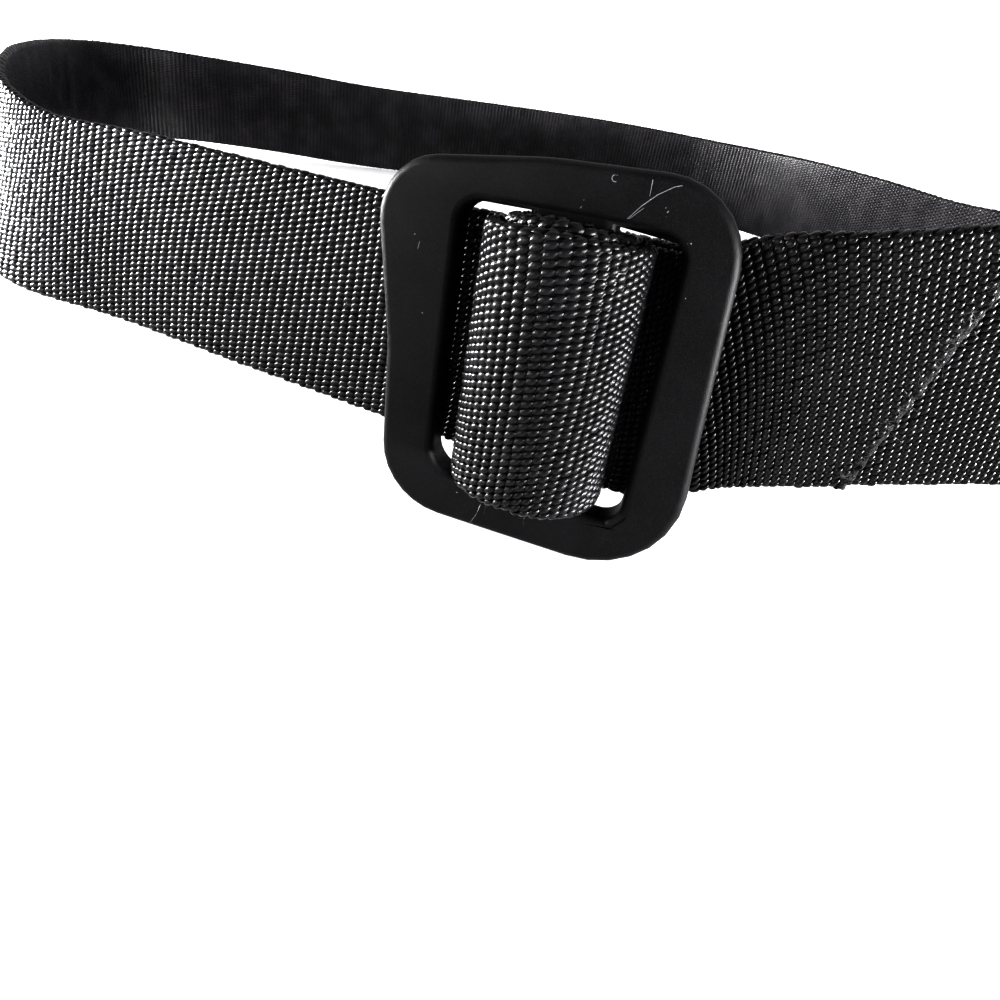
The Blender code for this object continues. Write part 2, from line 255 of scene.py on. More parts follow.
class WebbingSettings(bpy.types.PropertyGroup):
    """Sizes and colours of the woven strap."""

    core_thickness: FloatProperty(
        name="Core thickness",
        description="Thickness of the strap under the yarns' floats",
        default=1.44 * MM,
        min=0.5 * MM,
        unit="LENGTH",
    )
    float_height: FloatProperty(
        name="Float height",
        description="How proud of the core the middle of each float stands",
        default=0.5 * MM,
        min=0,
        unit="LENGTH",
    )
    float_width: FloatProperty(
        name="Float width",
        description="Spacing of the floats in a column, across the strap",
        default=1.04 * MM,
        min=0.2 * MM,
        unit="LENGTH",
    )
    float_shear: FloatProperty(
        name="Float shear",
        description="How far a float's sides are carried along the strap, as a share of the column spacing",
        default=0.2,
    )
    unevenness: FloatProperty(
        name="Unevenness",
        description="Share by which the floats differ from each other in height and place",
        default=0.09,
        min=0,
        subtype="FACTOR",
    )
    yarn_colour: FloatVectorProperty(
        name="Yarn colour",
        description="Colour of the dyed yarn",
        default=(0.0042, 0.004, 0.0044),
        size=3,
        min=0,
        max=1,
        subtype="COLOR",
    )
    faded_colour: FloatVectorProperty(
        name="Faded colour",
        description="Colour of the yarn where it has been rubbed",
        default=(0.01, 0.0095, 0.0104),
        size=3,
        min=0,
        max=1,
        subtype="COLOR",
    )
    yarn_roughness: FloatProperty(
        name="Yarn roughness",
        description="Roughness of the yarn's filaments",
        default=0.26,
        min=0,
        max=1,
        subtype="FACTOR",
    )
    seed: IntProperty(name="Seed", description="Seed of the weave's unevenness", default=7)


class EndSettings(bpy.types.PropertyGroup):
    """Sizes of the strap's melted free end and of its loose fibres."""

    seal_width: FloatProperty(
        name="Seal width",
        description="Width of the melted band along the cut",
        default=2.1 * MM,
        min=0.2 * MM,
        unit="LENGTH",
    )
    fibre_radius: FloatProperty(
        name="Fibre radius",
        description="Radius of a loose fibre",
        default=0.03 * MM,
        min=0.005 * MM,
        unit="LENGTH",
    )
    melt_colour: FloatVectorProperty(
        name="Melt colour",
        description="Colour of the melted yarn",
        default=(0.003, 0.003, 0.0032),
        size=3,
        min=0,
        max=1,
        subtype="COLOR",
    )
    ash_colour: FloatVectorProperty(
        name="Ash colour",
        description="Colour of the melted band where it is rubbed and drawn out",
        default=(0.022, 0.0215, 0.023),
        size=3,
        min=0,
        max=1,
        subtype="COLOR",
    )
    # The loose filaments' colour, paler than the black yarn, is a painted sheen for the light they catch
    fibre_sheen_colour: FloatVectorProperty(
        name="Fibre colour",
        description="Colour of the loose filaments in the light",
        default=(0.07, 0.068, 0.073),
        size=3,
        min=0,
        max=1,
        subtype="COLOR",
    )
    frays: IntProperty(name="Frays", description="Loose filaments along the cut", default=100, min=0)
    fuzz: IntProperty(name="Fuzz", description="Short fibres on the front of the strap", default=240, min=0)
    seed: IntProperty(name="Seed", description="Seed of the melted lumps and fibres", default=21)


class BuckleSettings(bpy.types.PropertyGroup):
    """Finish of the frame buckle."""

    coat_colour: FloatVectorProperty(
        name="Coat colour",
        description="Colour of the sandblasted black coat",
        default=(0.0034, 0.0034, 0.0037),
        size=3,
        min=0,
        max=1,
        subtype="COLOR",
    )
    scratch_colour: FloatVectorProperty(
        name="Scratch colour",
        description="Colour of the coat where a hairline scratch has broken it",
        default=(0.16, 0.16, 0.17),
        size=3,
        min=0,
        max=1,
        subtype="COLOR",
    )
    dust_colour: FloatVectorProperty(
        name="Dust colour",
        description="Colour of the dust specks",
        default=(0.35, 0.34, 0.33),
        size=3,
        min=0,
        max=1,
        subtype="COLOR",
    )
    coat_roughness: FloatProperty(
        name="Coat roughness",
        description="Roughness of the coat between its grains",
        default=0.44,
        min=0,
        max=1,
        subtype="FACTOR",
    )
    grain_size: FloatProperty(
        name="Grain size",
        description="Size of the sandblasted grain",
        default=0.16 * MM,
        min=0.02 * MM,
        unit="LENGTH",
    )


class StudioSettings(bpy.types.PropertyGroup):
    """The floor and the lights."""

    floor_colour: FloatVectorProperty(
        name="Floor colour",
        description="Colour of the plain floor",
        default=(0.96, 0.96, 0.96),
        size=3,
        min=0,
        max=1,
        subtype="COLOR",
    )
    sky_strength: FloatProperty(
        name="Sky strength", description="Brightness of the even light all round", default=0.7, min=0
    )
    window_power: FloatProperty(
        name="Window power",
        description="Power of the soft light at the left",
        default=42.0,
        min=0,
        unit="POWER",
    )
    side_power: FloatProperty(
        name="Side power",
        description="Power of the soft light at the right",
        default=17.0,
        min=0,
        unit="POWER",
    )
    front_power: FloatProperty(
        name="Front power",
        description="Power of the small light at the left in front of the belt",
        default=2.0,
        min=0,
        unit="POWER",
    )
    floor_power: FloatProperty(
        name="Floor light power",
        description="Power of each of the two narrow lights that brighten the floor beside the belt",
        default=2.5,
        min=0,
        unit="POWER",
    )
    top_power: FloatProperty(
        name="Top power",
        description="Power of the large soft light overhead",
        default=2.0,
        min=0,
        unit="POWER",
    )


def columns_of(names, rows):
    """A table's columns by name."""
    return dict(zip(names, np.array(rows, float).T))


def unit(vectors):
    """The vectors, each divided by its length."""
    return vectors / np.linalg.norm(vectors, axis=-1, keepdims=True)


def smooth_through(points, places, wanted):
    """Values at the wanted places of a smooth curve through the points."""
    slopes = np.gradient(points, places, axis=0)
    index = np.clip(np.searchsorted(places, wanted, side="right") - 1, 0, len(places) - 2)
    span = (places[index + 1] - places[index])[:, None]
    share = (wanted - places[index])[:, None] / span
    ahead = 1 - share
    value = (1 + 2 * share) * ahead**2 * points[index] + (3 - 2 * share) * share**2 * points[index + 1]
    return value + share * ahead * span * (ahead * slopes[index] - share * slopes[index + 1])


def rim_lines(node):
    """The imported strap's long rims, each as points from the folded end to the free one.

    A rim that is creased somewhere comes out short, and is left out.
    """
    form = bmesh.new()
    form.from_mesh(node.data)
    bmesh.ops.remove_doubles(form, verts=form.verts, dist=WELD)
    links = {}
    for edge in form.edges:
        if edge.calc_face_angle(0) > math.radians(RIM_ANGLE):
            first, second = edge.verts
            links.setdefault(first, []).append(second)
            links.setdefault(second, []).append(first)
    lines = []
    for corner in [vert for vert, others in links.items() if len(others) == 3]:
        for second in links[corner]:
            line = [corner, second]
            while len(links[line[-1]]) == 2:
                line.append(next(other for other in links[line[-1]] if other is not line[-2]))
            if len(line) > SHORTEST_RIM and corner.co.y > line[-1].co.y:
                lines.append(np.array([vert.co for vert in line], float))
    form.free()
    longest = max(len(line) for line in lines)
    whole = sorted((line for line in lines if len(line) == longest), key=lambda line: line[:, 2].mean())
    if len(whole) < 3:
        counts = [len(line) for line in lines]
        raise RuntimeError(f"the strap has rims of {counts} points, and not three alike")
    return whole


class StrapPath:
    """The strap's middle surface: places along it, its lower and upper edges and its outer side."""

    def __init__(self, node):
        first, second, high = rim_lines(node)[:3]
        lower = (first + second) / 2
        below = min((first, second), key=lambda line: np.linalg.norm(high - line, axis=1).mean())
        upper = high + lower - below
        middle = (lower + upper) / 2
        self.thickness = float(np.linalg.norm(first - second, axis=1).mean())
        places = np.concatenate([[0], np.cumsum(np.linalg.norm(np.diff(middle, axis=0), axis=1))])
        self.length = float(places[-1])
        self.places = np.linspace(0, self.length, int(self.length / FINE_STEP))
        self.lower = smooth_through(lower, places, self.places)
        self.upper = smooth_through(upper, places, self.places)
        way = unit(np.gradient((self.lower + self.upper) / 2, axis=0))
        rise = self.upper - self.lower
        self.outer = unit(np.cross(way, rise))
        self.lean = (rise * way).sum(1)
        self.width = float(np.linalg.norm(rise - self.lean[:, None] * way, axis=1).mean())
        self.past = self.width / 2
        self.wanted = np.arange(-self.past, self.length + self.past, FINE_STEP)
        self.levels = [self.level_line(height) for height in np.linspace(-0.5, 0.5, LEVEL_LINES)]

    def level_line(self, height):
        """Where each column of the weave crosses one line along the strap, as distances of packed sections.

        The columns keep their spacing along every line, and slant as the belt's do.
        """
        line = self.lower + (self.upper - self.lower) * (0.5 + height)
        run = np.concatenate([[0], np.cumsum(np.linalg.norm(np.diff(line, axis=0), axis=1))])
        square = np.maximum.accumulate(self.places + height * self.lean)
        places, run, square = (
            np.concatenate([[values[0] - self.past], values, [values[-1] + self.past]])
            for values in (self.places, run, square)
        )
        aim = self.wanted + slanted(self.wanted, height * self.width, self.width)
        drift = np.interp(np.interp(aim, square, places), places, run) - self.wanted
        window = np.hanning(DRIFT_STEPS)
        drift = np.convolve(np.pad(drift, DRIFT_STEPS // 2, "edge"), window / window.sum(), "valid")
        return np.interp(self.wanted + drift[: len(self.wanted)], run, places)

    def sections(self, distance, across):
        """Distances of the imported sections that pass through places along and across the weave."""
        level = np.clip(0.5 + across / self.width, 0, 1) * (LEVEL_LINES - 1)
        found = np.zeros_like(distance)
        for number, line in enumerate(self.levels):
            share = np.maximum(1 - np.abs(level - number), 0)
            near = share > 0
            found[near] += share[near] * np.interp(distance[near], self.wanted, line)
        return found

    def on(self, values, distance):
        """The path's values, one for each of its places, read at other distances along it."""
        flat = values.reshape(len(self.places), -1)
        found = [np.interp(distance.ravel(), self.places, column) for column in flat.T]
        return np.stack(found, axis=-1).reshape(distance.shape + values.shape[1:])

    def points(self, distance, across, proud):
        """World points at a distance along the strap, across it from its middle, and proud of its middle."""
        share = (0.5 + across / self.width)[..., None]
        lower, upper = self.on(self.lower, distance), self.on(self.upper, distance)
        return lower + (upper - lower) * share + self.on(self.outer, distance) * proud[..., None]


def round_section(path, core, around, proud):
    """Places (across, proud of the middle) on the strap's section, which has round edges.

    The way round starts at the middle of the outer side, goes over the upper edge to the inner side, and the
    other way with negative values.
    """
    radius = core / 2
    flat = path.width / 2 - path.thickness / 2
    turn = math.pi * radius
    side = np.sign(around)
    far = np.abs(around)
    angle = np.clip((far - flat) / radius, 0, math.pi)
    past = np.maximum(far - flat - turn, 0)
    across = side * (np.minimum(far, flat) - past + (radius + proud) * np.sin(angle))
    return across, (radius + proud) * np.cos(angle)


def columns_along(path):
    """Distances of the weave's columns along the strap, past its slanting ends."""
    table = columns_of(PITCH_COLUMNS, PITCHES)
    found = [-path.past]
    while found[-1] < path.length + path.past:
        found.append(found[-1] + float(np.interp(found[-1], table["distance"] * MM, table["pitch"] * MM)))
    return np.array(found)


def slanted(distance, across, width):
    """How far a column is carried along the strap at a height, by its slant."""
    table = columns_of(SLANT_COLUMNS, SLANTS)
    slopes = [
        np.interp(distance, table["distance"] * MM, np.tan(np.radians(table[name])))
        for name in SLANT_COLUMNS[1:]
    ]
    bow = (slopes[2] - slopes[0]) / (SLANT_HEIGHTS[2] - SLANT_HEIGHTS[0])
    return across * slopes[1] + bow * across**2 / width / 2


def new_object(name, points, faces, material):
    """A smooth mesh object of these points and faces, riding on the belt."""
    mesh = bpy.data.meshes.new(name)
    mesh.from_pydata(points, [], faces)
    mesh.shade_smooth()
    mesh.materials.append(material)
    made = bpy.data.objects.new(name, mesh)
    bpy.context.scene.collection.objects.link(made)
    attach(made, BODY)
    return made


def grid_faces(rows, columns):
    """Four-cornered faces of one grid of points, row by row."""
    corner = np.arange(rows - 1)[:, None] * columns + np.arange(columns - 1)[None, :]
    corner = corner.ravel()
    return np.stack([corner, corner + columns, corner + columns + 1, corner + 1], axis=1)


class Value:
    """A socket of a node tree that takes part in Python arithmetic."""

    def __init__(self, shader, socket):
        self.shader = shader
        self.socket = socket

    def maths(self, operation, *others):
        return self.shader.node("ShaderNodeMath", {"operation": operation}, dict(enumerate(others))).out()

    def __add__(self, other):
        return self.maths("ADD", self, other)

    def __radd__(self, other):
        return self.maths("ADD", other, self)

    def __sub__(self, other):
        return self.maths("SUBTRACT", self, other)

    def __rsub__(self, other):
        return self.maths("SUBTRACT", other, self)

    def __mul__(self, other):
        return self.maths("MULTIPLY", self, other)

    def __rmul__(self, other):
        return self.maths("MULTIPLY", other, self)

    def __pow__(self, other):
        return self.maths("POWER", self, other)

    def __abs__(self):
        return self.maths("ABSOLUTE", self)

    def below(self, other):
        return self.maths("LESS_THAN", self, other)

    def largest(self, other):
        return self.maths("MAXIMUM", self, other)

    def ramped(self, low, high):
        """0 below low, 1 above high, and smooth between."""
        settings = {"interpolation_type": "SMOOTHSTEP", "clamp": True}
        sockets = {"Value": self, "From Min": low, "From Max": high}
        return self.shader.node("ShaderNodeMapRange", settings, sockets).out()


class Node:
    """A node just added to a material's tree."""

    def __init__(self, shader, node):
        self.shader = shader
        self.node = node

    def out(self, name=0):
        return Value(self.shader, self.node.outputs[name])


class Shader:
    """A material with one Principled shader, whose tree grows by Python calls."""

    def __init__(self, name, colour, roughness, **constants):
        self.material = bpy.data.materials.new(name)
        self.material.use_nodes = True
        self.tree = self.material.node_tree
        self.surface = self.tree.nodes["Principled BSDF"]
        self.surface.inputs["Base Color"].default_value = (*colour, 1)
        self.surface.inputs["Roughness"].default_value = roughness
        for name, value in constants.items():
            self.surface.inputs[name.replace("_", " ")].default_value = value

    def node(self, kind, settings=None, inputs=None):
        """Adds a node: its settings come first, then the values or links of its sockets."""
        added = self.tree.nodes.new(kind)
        for name, value in (settings or {}).items():
            setattr(added, name, value)
        for name, value in (inputs or {}).items():
            if isinstance(value, Value):
                self.tree.links.new(value.socket, added.inputs[name])
            else:
                added.inputs[name].default_value = value
        return Node(self, added)

    def feed(self, name, value):
        self.tree.links.new(value.socket, self.surface.inputs[name])

    def place(self):
        """The surface's own place, in metres."""
        return self.node("ShaderNodeTexCoord").out("Object")

    def noise(self, place, size, detail=2.0, roughness=0.5):
        """Soft noise from 0 to 1 whose lumps have about this size."""
        inputs = {"Vector": place, "Scale": 1 / size, "Detail": detail, "Roughness": roughness}
        return self.node("ShaderNodeTexNoise", {}, inputs).out("Fac")

    def blend(self, share, first, second):
        """A mix of two colours, given as colours or as sockets."""
        ends = [one if isinstance(one, Value) else (*one, 1) for one in (first, second)]
        inputs = {"Factor": share, 6: ends[0], 7: ends[1]}
        return self.node("ShaderNodeMix", {"data_type": "RGBA"}, inputs).out(2)

    def along(self, place, direction):
        """How far a place lies along a direction."""
        inputs = {0: place, 1: tuple(direction)}
        return self.node("ShaderNodeVectorMath", {"operation": "DOT_PRODUCT"}, inputs).out("Value")

    def raise_by(self, height, strength):
        """Bumps the surface by a height in metres."""
        inputs = {"Strength": strength, "Distance": 1.0, "Height": height}
        self.feed("Normal", self.node("ShaderNodeBump", {}, inputs).out())


def yarn_material(name, settings, painted_light_share=1.0):
    """Dyed filament yarn: fine twisted filaments, a little rubbed on top."""
    # The share paints light or shade into the yarn's colour: above 1 it is a painted sheen, below 1 painted
    # shade
    dark = [value * painted_light_share for value in settings.yarn_colour]
    faded = [value * painted_light_share for value in settings.faded_colour]
    shader = Shader(name, dark, settings.yarn_roughness, Specular_IOR_Level=0.15)
    place = shader.place()
    patches = shader.noise(place, 9 * MM, 3.0)
    rubbed = shader.noise(place, 0.9 * MM, 2.0)
    shader.feed("Base Color", shader.blend(patches.ramped(0.35, 0.7) * rubbed, dark, faded))
    filaments = shader.noise(place, 0.12 * MM, 2.0)
    shader.feed("Roughness", settings.yarn_roughness - 0.08 + 0.2 * filaments)
    shader.raise_by(filaments * (0.035 * MM), 0.8)
    return shader.material


def lay_floats(name, path, settings, columns, first, around, faces, core, material, random):
    """One mesh of the floats of some columns, for those places round the section that are wanted."""
    along, across = faces
    share_along = np.sin(np.linspace(-math.pi / 2, math.pi / 2, along + 1))[:, None]
    share_across = np.sin(np.linspace(-math.pi / 2, math.pi / 2, across + 1))[None, :]
    narrowing = np.sqrt(1 - (FLOAT_TAPER * share_along) ** 2)
    sideways = share_across * narrowing
    crown = (1 - share_along**2) ** 0.5 * (1 - 0.1 * share_across**2 - 0.3 * share_across**8)
    lifts = columns_of(LIFT_COLUMNS, LIFTS)
    pitches = np.gradient(columns)
    step = around["pitch"]
    points = []
    for number, (distance, pitch) in enumerate(zip(columns, pitches)):
        shift = step / 2 if (first + number) % 2 else 0.0
        middles = around["middles"] + shift
        wobble = random.normal(size=(4, len(middles), 1, 1)) * settings.unevenness
        height = settings.float_height * (1 + HEIGHT_SPREAD * wobble[0])
        round_place = middles[:, None, None] + step * (FLOAT_REACH * sideways + ACROSS_SPREAD * wobble[1])
        flat_across, _ = round_section(path, core, round_place, np.zeros_like(round_place))
        reach = pitch * (FLOAT_REACH + LENGTH_SPREAD * wobble[2])
        carried = settings.float_shear * pitch * sideways
        lies = distance + reach * share_along + carried + pitch * ALONG_SPREAD * wobble[3]
        lies = path.sections(lies, flat_across)
        lift = np.interp(distance, lifts["distance"] * MM, lifts["lift"])
        proud = height * crown * (1 + lift * share_along) - FLOAT_ROOT
        over, out = round_section(path, core, round_place, proud)
        inside = (lies.max(axis=(1, 2)) < path.length - 0.05 * MM) & (lies.min(axis=(1, 2)) > 0.05 * MM)
        points.append(path.points(lies[inside], over[inside], out[inside]))
    points = np.concatenate(points)
    count = len(points)
    cell = grid_faces(along + 1, across + 1)
    corners = (np.arange(count) * points.shape[1] * points.shape[2])[:, None, None] + cell[None]
    made = new_object(name, points.reshape(-1, 3), corners.reshape(-1, 4), material)
    lay_out_for_baking(made, count, along + 1, across + 1)


def lay_out_for_baking(made, count, rows, columns):
    """Gives each of a piece's like patches its own cell of a square grid, so that its finish can be baked."""
    side = math.ceil(math.sqrt(count))
    number = np.arange(count)
    cells = np.stack([number % side, number // side], axis=-1)
    within = [np.linspace(CELL_MARGIN, 1 - CELL_MARGIN, size) for size in (rows, columns)]
    inner = np.stack(np.meshgrid(*within, indexing="ij"), axis=-1).reshape(-1, 2)
    places = ((cells[:, None, :] + inner[None]) / side).reshape(-1, 2)
    corners = np.empty(len(made.data.loops), np.int32)
    made.data.loops.foreach_get("vertex_index", corners)
    layer = made.data.uv_layers.new(name="OFBake")
    layer.data.foreach_set("uv", places[corners].astype(np.float32).ravel())


def float_places(path, settings, core, side):
    """Middles of the floats round the section, on the outer side with both edges, or on the inner side."""
    radius = core / 2
    flat = path.width / 2 - path.thickness / 2
    whole = 4 * flat + 2 * math.pi * radius
    count = round(whole / settings.float_width)
    pitch = whole / count
    middles = (np.arange(count) - count // 2) * pitch
    outer = np.abs(middles) < flat + OUTER_TURN * math.pi * radius
    return {"pitch": pitch, "middles": middles[outer if side == "outer" else ~outer]}


class BELT_OT_strap_core(bpy.types.Operator):
    """Lays the strap's woven core, which the yarns' floats cover"""

    bl_idname = "belt.strap_core"
    bl_label = "Strap core"

    def execute(self, context):
        settings = context.scene.belt_webbing
        path = StrapPath(frame["nodes"][STRAP_NODE])
        core = settings.core_thickness
        flat = path.width / 2 - path.thickness / 2
        turn = np.linspace(0, math.pi, CORE_TURN_STEPS + 1) * core / 2 + flat
        side = np.linspace(0, flat, CORE_FLAT_STEPS + 1)
        around = np.concatenate([side[:-1], turn, turn[-1] + side[1:]])
        around = np.concatenate([around, -around[1:-1][::-1]])
        distance = np.linspace(0, path.length, int(path.length / CORE_STEP))
        lies, round_place = np.meshgrid(distance, around, indexing="ij")
        across, proud = round_section(path, core, round_place, np.zeros_like(round_place))
        points = path.points(lies, across, proud)
        rows, columns = lies.shape
        faces = grid_faces(rows, columns + 1)
        faces = np.where(faces % (columns + 1) == columns, faces - columns, faces)
        faces = faces - faces // (columns + 1)
        caps = [tuple(range(columns)), tuple(range(rows * columns - 1, (rows - 1) * columns - 1, -1))]
        # The core's yarn is darkened as painted shade between the floats
        material = yarn_material("woven core", settings, CORE_PAINTED_SHADE)
        made = new_object("strap_core", points.reshape(-1, 3), [*faces.tolist(), *caps], material)
        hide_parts(STRAP_NODE)
        return {"FINISHED"}


class BELT_OT_weave(bpy.types.Operator):
    """Lays the floats of the strap's yarns, column by column, stretch by stretch"""

    bl_idname = "belt.weave"
    bl_label = "Weave"

    def execute(self, context):
        settings = context.scene.belt_webbing
        path = StrapPath(frame["nodes"][STRAP_NODE])
        core = settings.core_thickness
        # The inner side's yarn is lightened as a painted sheen
        materials = {
            "outer": yarn_material("black yarn", settings),
            "inner": yarn_material("black yarn, a little faded", settings, INNER_PAINTED_SHEEN),
        }
        random = np.random.default_rng(settings.seed)
        columns = columns_along(path)
        for name, start, stop, outer, inner in STRETCHES:
            chosen = np.flatnonzero((columns >= start * MM) & (columns < stop * MM))
            for side, faces in (("outer", outer), ("inner", inner)):
                places = float_places(path, settings, core, side)
                lay_floats(
                    f"weave_{name}_{side}", path, settings, columns[chosen], chosen[0], places, faces,
                    core, materials[side], random,
                )
        return {"FINISHED"}


def uneven(random, count, smoothness):
    """A smooth random line of numbers whose spread is about 1."""
    window = np.hanning(2 * smoothness + 1)
    rough = random.normal(size=count + 2 * smoothness)
    return np.convolve(rough, window / np.sqrt((window**2).sum()), "valid")


def melted_material(settings, corner):
    """Webbing melted by a hot knife: dark lumps that are greyish where they are rubbed or drawn out."""
    shader = Shader("melted edge", settings.melt_colour, 0.4, Specular_IOR_Level=0.15)
    place = shader.place()
    patches = shader.noise(place, 1.6 * MM, 4.0, 0.65)
    apart = shader.node("ShaderNodeVectorMath", {"operation": "DISTANCE"}, {0: place, 1: corner}).out("Value")
    nearby = 1 - apart.ramped(0.25 * LUMP_REACH, LUMP_REACH)
    pale = (patches + 0.25 * nearby).ramped(0.6, 0.84)
    shader.feed("Base Color", shader.blend(pale, settings.melt_colour, settings.ash_colour))
    shader.feed("Roughness", 0.4 + 0.35 * shader.noise(place, 0.5 * MM, 3.0))
    shader.raise_by(shader.noise(place, 0.35 * MM, 4.0, 0.65) * (0.35 * MM), 1.0)
    return shader.material


def fibre_tubes(name, routes, radius, material):
    """Fine tubes along routes of equally many points, thinner towards their tips."""
    count, length = routes.shape[:2]
    way = unit(np.gradient(routes, axis=1))
    aside = unit(np.cross(way, np.array([0.31, 0.53, 0.79])))
    above = np.cross(way, aside)
    turn = np.arange(FIBRE_SIDES) * 2 * math.pi / FIBRE_SIDES
    thinning = np.linspace(1, FIBRE_TIP, length)[None, :, None, None] * radius
    ring = aside[:, :, None] * np.cos(turn)[:, None] + above[:, :, None] * np.sin(turn)[:, None]
    points = routes[:, :, None] + ring * thinning
    faces = grid_faces(length, FIBRE_SIDES + 1)
    row, column = faces // (FIBRE_SIDES + 1), faces % (FIBRE_SIDES + 1) % FIBRE_SIDES
    faces = (row * FIBRE_SIDES + column).tolist()
    faces += [list(range(FIBRE_SIDES))[::-1], list(range((length - 1) * FIBRE_SIDES, length * FIBRE_SIDES))]
    size = length * FIBRE_SIDES
    everything = [[corner + number * size for corner in face] for number in range(count) for face in faces]
    made = new_object(name, points.reshape(-1, 3), everything, material)


def curling(random, starts, leads, lengths, curl):
    """Routes that set out from each start and curl at random."""
    steps = np.linspace(0, 1, FIBRE_POINTS)[None, :, None]
    bend = random.normal(size=(len(starts), 1, 3)) * curl
    wave = random.normal(size=(len(starts), 1, 3)) * curl * 0.4
    shape = leads[:, None] * steps + bend * steps**2 + wave * np.sin(steps * 2 * math.pi)
    return starts[:, None] + shape * lengths[:, None, None]


class BELT_OT_free_end(bpy.types.Operator):
    """Melts the strap's slanting cut edge and lets some filaments out of it"""

    bl_idname = "belt.free_end"
    bl_label = "Free end"

    def execute(self, context):
        settings = context.scene.belt_end
        webbing = context.scene.belt_webbing
        path = StrapPath(frame["nodes"][STRAP_NODE])
        random = np.random.default_rng(settings.seed)
        half, core, proud = path.width / 2, webbing.core_thickness / 2, webbing.float_height
        across = np.linspace(-half, half, SEAL_STEPS)
        width = settings.seal_width * np.exp(0.3 * uneven(random, SEAL_STEPS, 4))
        edge = (1 - np.abs(across / half) ** 24)[:, None] * 0.35 + 0.65
        lumps = np.stack([uneven(random, SEAL_STEPS, 2) for _ in SEAL_PROFILE], axis=1)
        behind, lift, height = (np.array(values)[None, :] for values in zip(*SEAL_PROFILE))
        depth = np.maximum(behind, 0) * width[:, None]
        big = 1 + 0.5 * np.exp(-((across + half) / LUMP_REACH) ** 2)[:, None]
        out = (lift * core + height * proud * big * (0.6 + 0.4 * lumps)) * edge
        points = path.points(path.length - depth, np.repeat(across[:, None], len(SEAL_PROFILE), 1), out)
        rise = unit(path.upper[-1] - path.lower[-1])
        ahead = unit(np.cross(rise, path.outer[-1]))
        ahead = ahead * np.sign(ahead @ (path.lower[-1] - path.lower[-9]))
        points = points + ahead * (np.maximum(-behind, 0) * (1 + 0.3 * lumps) * MM)[..., None]
        rows, columns = points.shape[:2]
        faces = grid_faces(rows, columns).tolist()
        starts = [row * columns for row in range(rows)]
        closing = [
            [here + columns - 1, here, there, there + columns - 1] for here, there in zip(starts, starts[1:])
        ]
        caps = [list(range(columns))[::-1], list(range((rows - 1) * columns, rows * columns))]
        material = melted_material(settings, tuple(path.lower[-1]))
        made = new_object("melted_edge", points.reshape(-1, 3), [*faces, *closing, *caps], material)
        made.modifiers.new("rounder lumps", "SUBSURF").render_levels = 1

        share = random.uniform(0.02, 0.98, settings.frays)
        for middle, spread in FRAYED:
            chosen = random.uniform(size=settings.frays) < 0.3
            share[chosen] = middle + spread * random.normal(size=int(chosen.sum()))
        start = path.points(
            path.length - random.uniform(-0.1, 1.4, settings.frays) * settings.seal_width,
            (np.clip(share, 0.02, 0.98) - 0.5) * path.width,
            np.full(settings.frays, core + 0.55 * proud),
        )
        spread = random.normal(size=(settings.frays, 3))
        away = (0.3 + 0.2 * spread[:, 1:2]) * path.outer[-1]
        leads = unit(0.55 * ahead + 0.55 * spread[:, :1] * rise + away)
        lengths = random.gamma(3.0, 0.26 * MM, settings.frays)
        routes = curling(random, start, leads, lengths, 0.65)
        fibre = fibre_material(settings)
        fibre_tubes("frayed_filaments", routes, settings.fibre_radius, fibre)
        return {"FINISHED"}


def fibre_material(settings):
    """Loose filaments whose colour, paler than the yarn's, is a painted sheen for the light they catch."""
    shader = Shader("loose filament", settings.fibre_sheen_colour, 0.35, Specular_IOR_Level=0.5)
    # Random patches dim the painted sheen to about a third in places along the filaments
    light = shader.noise(shader.place(), 1.2 * MM, 2.0)
    faded = [value * 0.35 for value in settings.fibre_sheen_colour]
    shader.feed("Base Color", shader.blend(light.ramped(0.35, 0.65), faded, settings.fibre_sheen_colour))
    return shader.material


class BELT_OT_loose_fibres(bpy.types.Operator):
    """Adds the strap's fine fuzz and the long fibre that hangs from its front fold"""

    bl_idname = "belt.loose_fibres"
    bl_label = "Loose fibres"

    def execute(self, context):
        settings = context.scene.belt_end
        webbing = context.scene.belt_webbing
        path = StrapPath(frame["nodes"][STRAP_NODE])
        random = np.random.default_rng(settings.seed + 1)
        proud = webbing.core_thickness / 2 + 0.6 * webbing.float_height
        fibre = fibre_material(settings)
        distance = random.uniform(FUZZ_FROM, path.length - FUZZ_SHORT_OF_END, settings.fuzz)
        along_edge = random.uniform(size=settings.fuzz) < 0.45
        sides = np.sign(random.normal(size=settings.fuzz))
        anywhere = random.uniform(-0.5, 0.5, settings.fuzz) * path.width
        across = np.where(along_edge, sides * path.width * 0.49, anywhere)
        start = path.points(distance, across, np.full(settings.fuzz, proud) * np.where(along_edge, 0.3, 1))
        rise = unit(path.on(path.upper - path.lower, distance))
        outer = path.on(path.outer, distance)
        lead = np.where(along_edge[:, None], sides[:, None] * rise + 0.3 * outer, 0.35 * outer)
        lead = unit(lead + 0.5 * random.normal(size=lead.shape))
        lengths = random.gamma(4.0, 0.13 * MM, settings.fuzz)
        fibre_tubes("fuzz", curling(random, start, lead, lengths, 0.6), settings.fibre_radius * 0.5, fibre)
        root = path.points(np.array([FIBRE_FROM]), np.array([-path.width * 0.49]), np.array([proud]))
        way = np.array(FIBRE_STEPS) * MM
        places = np.linspace(0, 1, len(way))
        fine = smooth_through(way, places, np.linspace(0, 1, FIBRE_POINTS * 3))
        fibre_tubes("hanging_fibre", (root + fine)[None], settings.fibre_radius, fibre)
        return {"FINISHED"}


